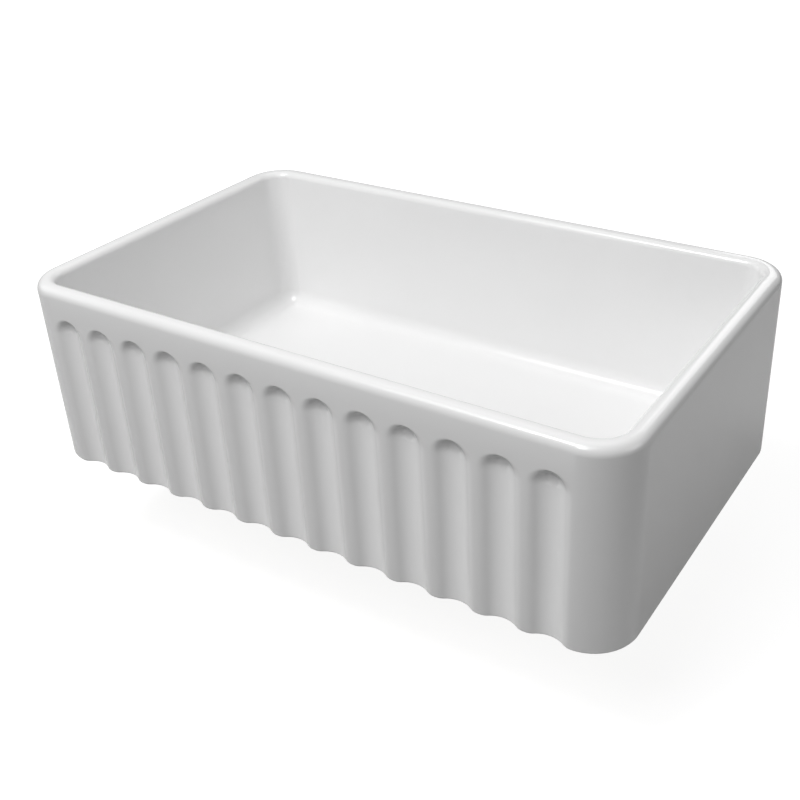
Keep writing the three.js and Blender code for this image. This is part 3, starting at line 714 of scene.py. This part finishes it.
def glazed_fireclay():
    """White vitreous glaze on fireclay: a deep gloss with a slow ripple, and bare biscuit underneath.

    No light that was tried made the middles of the flutes as light as the photograph's. So, as a guess,
    the glaze is painted whiter where it would lie thicker: most in the flutes, then in the bowl and on the
    rim.
    That whiteness is painted light, with a small real part from thicker glaze.
    """
    material, tree = new_material("glazed_fireclay")
    place = add_node(tree, "ShaderNodeTexCoord").outputs["Object"]
    level = add_node(tree, "ShaderNodeSeparateXYZ", {0: place}).outputs["Z"]
    ripple = add_node(tree, "ShaderNodeTexNoise", {
        "Vector": place, "Scale": grains_of(60), "Detail": 1.0})
    flow = add_node(tree, "ShaderNodeTexNoise", {
        "Vector": place, "Scale": grains_of(200), "Detail": 2.0})
    # The biscuit's own grain is a fifth of a millimetre; it is drawn coarser, so that it shows.
    grain = add_node(tree, "ShaderNodeTexNoise", {
        "Vector": place, "Scale": grains_of(1.1), "Detail": 4.0})
    wander = add_node(tree, "ShaderNodeTexNoise", {"Vector": place, "Scale": grains_of(14)})

    # The glaze ends a little above the foot, in an edge that wanders by half a millimetre.
    edge = add_node(tree, "ShaderNodeMath", {0: wander.outputs[0], 1: 0.5 * MM, 2: level},
                    operation="MULTIPLY_ADD").outputs[0]
    glazed = add_node(tree, "ShaderNodeMapRange", {
        "Value": edge, "From Min": 0.5 * MM, "From Max": 0.7 * MM}).outputs[0]
    bare = add_node(tree, "ShaderNodeMath", {0: 1.0, 1: glazed}, operation="SUBTRACT").outputs[0]
    # Painted light: the glaze layer makes the glaze whiter, most in the middles of the flutes; the flow noise
    # adds a real random tone.
    thickness = add_node(tree, "ShaderNodeAttribute", attribute_name="glaze").outputs["Fac"]
    cover = add_node(tree, "ShaderNodeMath", {0: flow.outputs[0], 1: 0.15, 2: thickness},
                     operation="MULTIPLY_ADD")
    glaze = add_node(tree, "ShaderNodeMix", {
        0: cover.outputs[0], 6: linear("#DFDFDF"), 7: linear("#F9F9F9")}, data_type="RGBA").outputs[2]
    biscuit = add_node(tree, "ShaderNodeMix", {
        0: grain.outputs[0], 6: linear("#C6B698"), 7: linear("#E2D8C6")}, data_type="RGBA").outputs[2]
    colour = add_node(tree, "ShaderNodeMix", {0: glazed, 6: biscuit, 7: glaze}, data_type="RGBA")
    gloss = add_node(tree, "ShaderNodeMapRange", {
        "Value": flow.outputs[0], "From Min": 0.3, "From Max": 0.7, "To Min": 0.13, "To Max": 0.19})
    rough = add_node(tree, "ShaderNodeMath", {0: bare, 1: 0.7, 2: gloss.outputs[0]},
                     operation="MULTIPLY_ADD")
    pits = add_node(tree, "ShaderNodeMath", {0: grain.outputs[0], 1: bare}, operation="MULTIPLY")
    waves = add_node(tree, "ShaderNodeBump", {
        "Height": ripple.outputs[0], "Strength": 0.25, "Distance": 0.45 * MM})
    normal = add_node(tree, "ShaderNodeBump", {
        "Height": pits.outputs[0], "Distance": 0.15 * MM, "Normal": waves.outputs[0]})
    shader = add_node(tree, "ShaderNodeBsdfPrincipled", {
        "Base Color": colour.outputs[2], "Roughness": rough.outputs[0], "IOR": 1.5,
        "Normal": normal.outputs[0]})
    add_node(tree, "ShaderNodeOutputMaterial", {"Surface": shader.outputs[0]})
    return material


def satin_stainless():
    """Stainless sheet polished on a lathe: fine rings round the axis spread the highlight into a fan."""
    material, tree = new_material("satin_stainless")
    place = add_node(tree, "ShaderNodeTexCoord").outputs["Object"]
    axes = add_node(tree, "ShaderNodeSeparateXYZ", {0: place}).outputs
    flat = add_node(tree, "ShaderNodeCombineXYZ", {"X": axes["X"], "Y": axes["Y"]}).outputs[0]
    out = add_node(tree, "ShaderNodeVectorMath", {0: flat}, operation="LENGTH").outputs["Value"]
    across = add_node(tree, "ShaderNodeCombineXYZ", {"X": out, "Y": axes["Z"]}).outputs[0]
    # Real polishing lines are a tenth of a millimetre apart; these are drawn coarser, so that they show.
    rings = add_node(tree, "ShaderNodeTexNoise", {
        "Vector": across, "Scale": grains_of(0.4), "Detail": 3.0, "Roughness": 0.7})
    smudge = add_node(tree, "ShaderNodeTexNoise", {
        "Vector": place, "Scale": grains_of(22), "Detail": 3.0})
    colour = add_node(tree, "ShaderNodeMix", {
        0: smudge.outputs[0], 6: linear("#B4B6B8"), 7: linear("#D0D2D3")}, data_type="RGBA")
    scratched = add_node(tree, "ShaderNodeMapRange", {
        "Value": rings.outputs[0], "From Min": 0.3, "From Max": 0.7, "To Min": 0.18, "To Max": 0.34})
    rough = add_node(tree, "ShaderNodeMath", {0: smudge.outputs[0], 1: 0.08, 2: scratched.outputs[0]},
                     operation="MULTIPLY_ADD")
    normal = add_node(tree, "ShaderNodeBump", {
        "Height": rings.outputs[0], "Strength": 0.6, "Distance": 0.012 * MM})
    shader = add_node(tree, "ShaderNodeBsdfPrincipled", {
        "Base Color": colour.outputs[2], "Metallic": 1.0, "Roughness": rough.outputs[0],
        "Normal": normal.outputs[0]})
    add_node(tree, "ShaderNodeOutputMaterial", {"Surface": shader.outputs[0]})
    return material


def chrome_plating():
    """Chromium plate on brass: a near mirror, dulled a little where hands and water have been."""
    material, tree = new_material("chrome_plating")
    place = add_node(tree, "ShaderNodeTexCoord").outputs["Object"]
    film = add_node(tree, "ShaderNodeTexNoise", {
        "Vector": place, "Scale": grains_of(16), "Detail": 4.0, "Roughness": 0.6})
    polish = add_node(tree, "ShaderNodeTexNoise", {
        "Vector": place, "Scale": grains_of(3.3), "Detail": 2.0})
    colour = add_node(tree, "ShaderNodeMix", {
        0: film.outputs[0], 6: linear("#C4C7CA"), 7: linear("#DFE1E3")}, data_type="RGBA")
    rough = add_node(tree, "ShaderNodeMapRange", {
        "Value": film.outputs[0], "From Min": 0.3, "From Max": 0.7, "To Min": 0.05, "To Max": 0.15})
    normal = add_node(tree, "ShaderNodeBump", {
        "Height": polish.outputs[0], "Strength": 0.3, "Distance": 0.02 * MM})
    shader = add_node(tree, "ShaderNodeBsdfPrincipled", {
        "Base Color": colour.outputs[2], "Metallic": 1.0, "Roughness": rough.outputs[0],
        "Normal": normal.outputs[0]})
    add_node(tree, "ShaderNodeOutputMaterial", {"Surface": shader.outputs[0]})
    return material


def cast_zinc():
    """A die-cast zinc nut: dull grey with the fine grain of the mould, darker where it has oxidised."""
    material, tree = new_material("cast_zinc")
    place = add_node(tree, "ShaderNodeTexCoord").outputs["Object"]
    oxide = add_node(tree, "ShaderNodeTexNoise", {
        "Vector": place, "Scale": grains_of(11), "Detail": 4.0, "Roughness": 0.6})
    # The mould's grain is finer than this; it is drawn coarser, so that it shows.
    grain = add_node(tree, "ShaderNodeTexNoise", {
        "Vector": place, "Scale": grains_of(0.7), "Detail": 3.0, "Roughness": 0.6})
    cover = add_node(tree, "ShaderNodeMapRange", {
        "Value": oxide.outputs[0], "From Min": 0.3, "From Max": 0.7})
    colour = add_node(tree, "ShaderNodeMix", {
        0: cover.outputs[0], 6: linear("#7F8284"), 7: linear("#A9ACAD")}, data_type="RGBA")
    rough = add_node(tree, "ShaderNodeMapRange", {
        "Value": cover.outputs[0], "To Min": 0.58, "To Max": 0.42})
    normal = add_node(tree, "ShaderNodeBump", {
        "Height": grain.outputs[0], "Strength": 0.8, "Distance": 0.06 * MM})
    shader = add_node(tree, "ShaderNodeBsdfPrincipled", {
        "Base Color": colour.outputs[2], "Metallic": 1.0, "Roughness": rough.outputs[0],
        "Normal": normal.outputs[0]})
    add_node(tree, "ShaderNodeOutputMaterial", {"Surface": shader.outputs[0]})
    return material


def black_rubber():
    """Moulded EPDM: nearly black, with a bloom of chalk and a fine sandy skin."""
    material, tree = new_material("black_rubber")
    place = add_node(tree, "ShaderNodeTexCoord").outputs["Object"]
    chalk = add_node(tree, "ShaderNodeTexNoise", {
        "Vector": place, "Scale": grains_of(9), "Detail": 4.0, "Roughness": 0.6})
    # The skin's grit is about 0.1 mm; it is drawn coarser, so that it shows.
    skin = add_node(tree, "ShaderNodeTexNoise", {
        "Vector": place, "Scale": grains_of(0.45), "Detail": 2.0})
    bloom = add_node(tree, "ShaderNodeMapRange", {
        "Value": chalk.outputs[0], "From Min": 0.45, "From Max": 0.8})
    colour = add_node(tree, "ShaderNodeMix", {
        0: bloom.outputs[0], 6: linear("#161617"), 7: linear("#2B2B2C")}, data_type="RGBA")
    rough = add_node(tree, "ShaderNodeMapRange", {
        "Value": bloom.outputs[0], "To Min": 0.62, "To Max": 0.8})
    normal = add_node(tree, "ShaderNodeBump", {
        "Height": skin.outputs[0], "Strength": 0.7, "Distance": 0.03 * MM})
    shader = add_node(tree, "ShaderNodeBsdfPrincipled", {
        "Base Color": colour.outputs[2], "Roughness": rough.outputs[0], "Normal": normal.outputs[0]})
    add_node(tree, "ShaderNodeOutputMaterial", {"Surface": shader.outputs[0]})
    return material


def white_sealing_foam():
    """Closed-cell sealing ring: matte white with small cells that break up the cut edge."""
    material, tree = new_material("white_sealing_foam")
    place = add_node(tree, "ShaderNodeTexCoord").outputs["Object"]
    # Real cells are 0.2 to 0.3 mm wide; they are drawn coarser, so that they show.
    cells = add_node(tree, "ShaderNodeTexVoronoi", {"Vector": place, "Scale": grains_of(0.55)})
    colour = add_node(tree, "ShaderNodeMix", {
        0: cells.outputs["Distance"], 6: linear("#C9C7BF"), 7: linear("#DEDCD6")}, data_type="RGBA")
    normal = add_node(tree, "ShaderNodeBump", {
        "Height": cells.outputs["Distance"], "Strength": 0.8, "Distance": 0.08 * MM})
    shader = add_node(tree, "ShaderNodeBsdfPrincipled", {
        "Base Color": colour.outputs[2], "Roughness": 0.9, "Normal": normal.outputs[0]})
    add_node(tree, "ShaderNodeOutputMaterial", {"Surface": shader.outputs[0]})
    return material


def pressed_fibre():
    """Brown pressed fibre: flecks that lie flat in the sheet, matte and slightly furry."""
    material, tree = new_material("pressed_fibre")
    place = add_node(tree, "ShaderNodeTexCoord").outputs["Object"]
    squashed = add_node(tree, "ShaderNodeMapping", {"Vector": place, "Scale": (1.0, 1.0, 6.0)})
    flecks = add_node(tree, "ShaderNodeTexNoise", {
        "Vector": squashed.outputs[0], "Scale": grains_of(1.4), "Detail": 5.0, "Roughness": 0.7})
    share = add_node(tree, "ShaderNodeMapRange", {
        "Value": flecks.outputs[0], "From Min": 0.3, "From Max": 0.7})
    colour = add_node(tree, "ShaderNodeMix", {
        0: share.outputs[0], 6: linear("#6E4429"), 7: linear("#A3714C")}, data_type="RGBA")
    rough = add_node(tree, "ShaderNodeMapRange", {
        "Value": share.outputs[0], "To Min": 0.95, "To Max": 0.82})
    normal = add_node(tree, "ShaderNodeBump", {
        "Height": flecks.outputs[0], "Strength": 0.7, "Distance": 0.05 * MM})
    shader = add_node(tree, "ShaderNodeBsdfPrincipled", {
        "Base Color": colour.outputs[2], "Roughness": rough.outputs[0], "Normal": normal.outputs[0]})
    add_node(tree, "ShaderNodeOutputMaterial", {"Surface": shader.outputs[0]})
    return material


def white_nylon():
    """Moulded nylon: milky, with a soft sheen and a faint flow pattern."""
    material, tree = new_material("white_nylon")
    place = add_node(tree, "ShaderNodeTexCoord").outputs["Object"]
    flow = add_node(tree, "ShaderNodeTexNoise", {
        "Vector": place, "Scale": grains_of(6), "Detail": 3.0})
    colour = add_node(tree, "ShaderNodeMix", {
        0: flow.outputs[0], 6: linear("#D5D3CA"), 7: linear("#EDEBE6")}, data_type="RGBA")
    rough = add_node(tree, "ShaderNodeMapRange", {
        "Value": flow.outputs[0], "From Min": 0.3, "From Max": 0.7, "To Min": 0.35, "To Max": 0.48})
    normal = add_node(tree, "ShaderNodeBump", {
        "Height": flow.outputs[0], "Strength": 0.4, "Distance": 0.03 * MM})
    shader = add_node(tree, "ShaderNodeBsdfPrincipled", {
        "Base Color": colour.outputs[2], "Roughness": rough.outputs[0], "Normal": normal.outputs[0]})
    add_node(tree, "ShaderNodeOutputMaterial", {"Surface": shader.outputs[0]})
    return material


# ------------------------------------------------------------------ studio

FLOOR_GLOW = 0.75  # how much of the near floor's tone is a plain white that no shadow reaches
FLOOR_BOUNCE = 0.3  # how much light the floor throws back up at the sink
FLOOR_TONE = 0.9  # how light the floor looks, straight on or in a reflection
FLOOR_WHITE = 1.2  # strength of that plain white
FLOOR_RADIUS = 14  # metres
SHADOW_NEAR, SHADOW_FAR = 0.7, 2.0  # metres from the object over which its shadow fades out
ROOM_LIGHT = 0.06
ROOM_IN_REFLECTIONS = 0.4


def studio_floor(level):
    """A pale floor that the camera sees as white, with the object's soft shadow kept near its foot."""
    material, tree = new_material("studio_floor")
    ray = add_node(tree, "ShaderNodeLightPath").outputs
    seen = ray["Is Camera Ray"]
    place = add_node(tree, "ShaderNodeTexCoord").outputs["Object"]
    away = add_node(tree, "ShaderNodeVectorMath", {0: place}, operation="LENGTH").outputs["Value"]
    glow = add_node(tree, "ShaderNodeMapRange", {
        "Value": away, "From Min": SHADOW_NEAR, "From Max": SHADOW_FAR,
        "To Min": FLOOR_GLOW, "To Max": 1.0})
    share = add_node(tree, "ShaderNodeMath", {0: seen, 1: glow.outputs[0]}, operation="MULTIPLY")
    in_sight = add_node(tree, "ShaderNodeMath", {0: seen, 1: ray["Is Glossy Ray"]}, operation="MAXIMUM")
    tone = add_node(tree, "ShaderNodeMapRange", {
        "Value": in_sight.outputs[0], "To Min": FLOOR_BOUNCE, "To Max": FLOOR_TONE})
    matte = add_node(tree, "ShaderNodeBsdfDiffuse", {"Color": tone.outputs["Result"]})
    white = add_node(tree, "ShaderNodeEmission", {"Color": (1, 1, 1, 1), "Strength": FLOOR_WHITE})
    mix = add_node(tree, "ShaderNodeMixShader", {
        0: share.outputs[0], 1: matte.outputs[0], 2: white.outputs[0]})
    add_node(tree, "ShaderNodeOutputMaterial", {"Surface": mix.outputs[0]})
    bm = bmesh.new()
    place = Matrix.Translation((0, 0, level))
    bmesh.ops.create_circle(bm, cap_ends=True, segments=96, radius=FLOOR_RADIUS, matrix=place)
    mesh = bpy.data.meshes.new("studio_floor")
    bm.to_mesh(mesh)
    bm.free()
    mesh.materials.append(material)
    floor = bpy.data.objects.new("studio_floor", mesh)
    bpy.context.scene.collection.objects.link(floor)


def studio_world():
    """A dim room; the camera sees white past the floor, and reflections show a brighter room."""
    world = bpy.data.worlds.new("studio")
    bpy.context.scene.world = world
    world.use_nodes = True
    tree = world.node_tree
    tree.nodes.clear()
    ray = add_node(tree, "ShaderNodeLightPath").outputs
    glow = add_node(tree, "ShaderNodeMapRange", {
        "Value": ray["Is Glossy Ray"], "To Min": ROOM_LIGHT, "To Max": ROOM_IN_REFLECTIONS})
    room = add_node(tree, "ShaderNodeBackground", {
        "Color": (1, 1, 1, 1), "Strength": glow.outputs["Result"]})
    white = add_node(tree, "ShaderNodeBackground", {"Color": (1, 1, 1, 1), "Strength": 1.0})
    mix = add_node(tree, "ShaderNodeMixShader", {
        0: ray["Is Camera Ray"], 1: room.outputs[0], 2: white.outputs[0]})
    add_node(tree, "ShaderNodeOutputWorld", {"Surface": mix.outputs[0]})


def area_light(name, place, target, size, power):
    lamp = bpy.data.lights.new(name, "AREA")
    lamp.shape = "RECTANGLE"
    lamp.size, lamp.size_y = size
    lamp.energy = power
    light = bpy.data.objects.new(name, lamp)
    light.location = place
    light.rotation_euler = (Vector(target) - Vector(place)).to_track_quat("-Z", "Y").to_euler()
    bpy.context.scene.collection.objects.link(light)


def studio_lights():
    """Two soft lights above, two smaller keys in front, and a fill at each of the other sides."""
    target = (0, 0, 0.1)
    area_light("overhead softbox", (-0.4, 0.2, 2.4), target, (2.6, 2.0), 9)
    area_light("front softbox", (-0.3, -1.2, 2.4), target, (2.0, 1.2), 21)
    area_light("front key", (-0.1, -2.2, 2.4), target, (0.8, 0.6), 18)
    area_light("high key", (-0.5, -1.5, 2.8), target, (0.8, 0.6), 33)
    area_light("right fill", (3.0, 0.2, 1.1), target, (1.6, 1.4), 15)
    area_light("left fill", (-2.6, -0.6, 1.4), target, (1.6, 1.4), 7)
    area_light("rear fill", (0.2, 2.8, 1.8), target, (1.6, 1.2), 13)


def photo_camera():
    """Stands where the photographer stood: a little right of the apron's middle and above it."""
    frame_px = 800
    focal_px = 1117.0
    optical_centre_px = (440, 372)
    place = Vector((0.7400, -1.0545, 0.8300))
    aim = Vector((-0.4772, 0.7306, -0.4884))
    roll = math.radians(-2.24)
    data = bpy.data.cameras.new("camera")
    data.sensor_width = 36
    data.lens = data.sensor_width * focal_px / frame_px
    data.shift_x = (frame_px / 2 - optical_centre_px[0]) / frame_px
    data.shift_y = (optical_centre_px[1] - frame_px / 2) / frame_px
    data.clip_start, data.clip_end = 0.05, 60
    camera = bpy.data.objects.new("camera", data)
    camera.location = place
    turn = aim.to_track_quat("-Z", "Y").to_matrix() @ Matrix.Rotation(roll, 3, "Z")
    camera.rotation_euler = turn.to_euler()
    bpy.context.scene.collection.objects.link(camera)
    bpy.context.scene.camera = camera


# ------------------------------------------------------------------ scene

photo_camera()
studio_world()
studio_lights()
studio_floor(CAD_BOX[0].z - 1 * MM)
bpy.context.scene.view_settings.view_transform = "Standard"

STEEL = satin_stainless()
PLATING = chrome_plating()
RUBBER = black_rubber()
NYLON = white_nylon()
sink_casting(glazed_fireclay())
strainer_cup(STEEL)
rings_under_the_sink(RUBBER, white_sealing_foam(), pressed_fibre(), NYLON)
locknut(cast_zinc())
outlet_nipple(PLATING)
tailpiece(PLATING)
coupling_nut(PLATING)
basket(STEEL)
basket_guide(PLATING, RUBBER, NYLON)
stopper(STEEL, PLATING, RUBBER)
